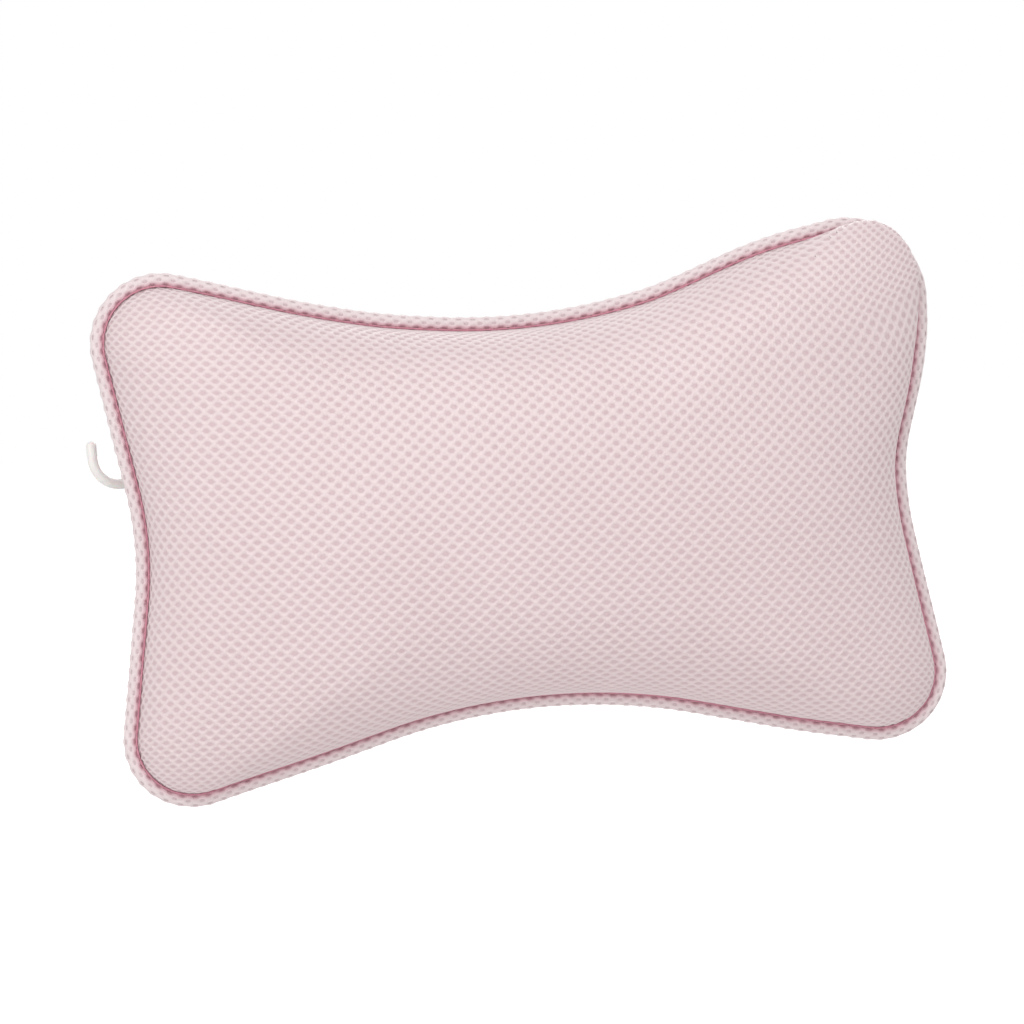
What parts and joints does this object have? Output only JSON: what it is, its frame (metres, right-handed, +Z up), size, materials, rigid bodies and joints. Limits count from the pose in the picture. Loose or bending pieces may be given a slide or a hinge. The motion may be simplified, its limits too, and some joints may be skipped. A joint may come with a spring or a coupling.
{
  "type": "bath pillow",
  "caption": "Bow-tie shaped bath pillow of open air mesh with corded seam, suction cups on webbing straps at the back and a plastic hanging hook.",
  "frame": {"origin": "middle of the plane of the four suction cup rims, behind the middle of the pillow, where the bath's wall is", "axes": "+Z up, +Y into the wall that the cups hold, so the side for the head faces -Y, +X to the right seen from the front"},
  "size_m": [0.314, 0.1026, 0.1978],
  "materials": {
    "air_mesh": "open knitted air mesh, pale rose strands over a deeper rose ground",
    "piping_mesh": "the same mesh folded tightly over a cord, dull rose stitch line",
    "cord_yarn": "soft braided cord",
    "lining_cloth": "thin woven lining",
    "fibre": "loose polyester fibre",
    "webbing": "flat woven tape",
    "cup_vinyl": "clear soft vinyl, glossy",
    "hook_plastic": "satin moulded plastic, off white"
  },
  "bodies": {
    "pillow": {"front_panel": "air_mesh", "back_panel": "air_mesh", "piping_cover": "piping_mesh", "piping_cord": "cord_yarn", "lining_front": "lining_cloth", "lining_back": "lining_cloth", "fibre_filling": "fibre", "cup_strap_upper_left": "webbing", "cup_strap_upper_right": "webbing", "cup_strap_lower_left": "webbing", "cup_strap_lower_right": "webbing", "hook_loop": "webbing"},
    "hanging_hook": {"hook": "hook_plastic"},
    "cup_upper_left": {"suction_cup_upper_left": "cup_vinyl"},
    "cup_upper_right": {"suction_cup_upper_right": "cup_vinyl"},
    "cup_lower_left": {"suction_cup_lower_left": "cup_vinyl"},
    "cup_lower_right": {"suction_cup_lower_right": "cup_vinyl"}
  },
  "joints": [
    {"name": "hook_swing", "type": "hinge", "parent": "pillow", "child": "hanging_hook", "pos_m": [-0.13729, -0.0328, 0.054], "axis": [0.9397, 0.342, 0], "range_deg": [-8, 120]},
    {"name": "cup_spin_upper_left", "type": "hinge", "parent": "pillow", "child": "cup_upper_left", "pos_m": [-0.078, -0.012, 0.04], "axis": [0, 1, 0], "continuous": true},
    {"name": "cup_spin_upper_right", "type": "hinge", "parent": "pillow", "child": "cup_upper_right", "pos_m": [0.078, -0.012, 0.04], "axis": [0, 1, 0], "continuous": true},
    {"name": "cup_spin_lower_left", "type": "hinge", "parent": "pillow", "child": "cup_lower_left", "pos_m": [-0.078, -0.012, -0.04], "axis": [0, 1, 0], "continuous": true},
    {"name": "cup_spin_lower_right", "type": "hinge", "parent": "pillow", "child": "cup_lower_right", "pos_m": [0.078, -0.012, -0.04], "axis": [0, 1, 0], "continuous": true}
  ]
}
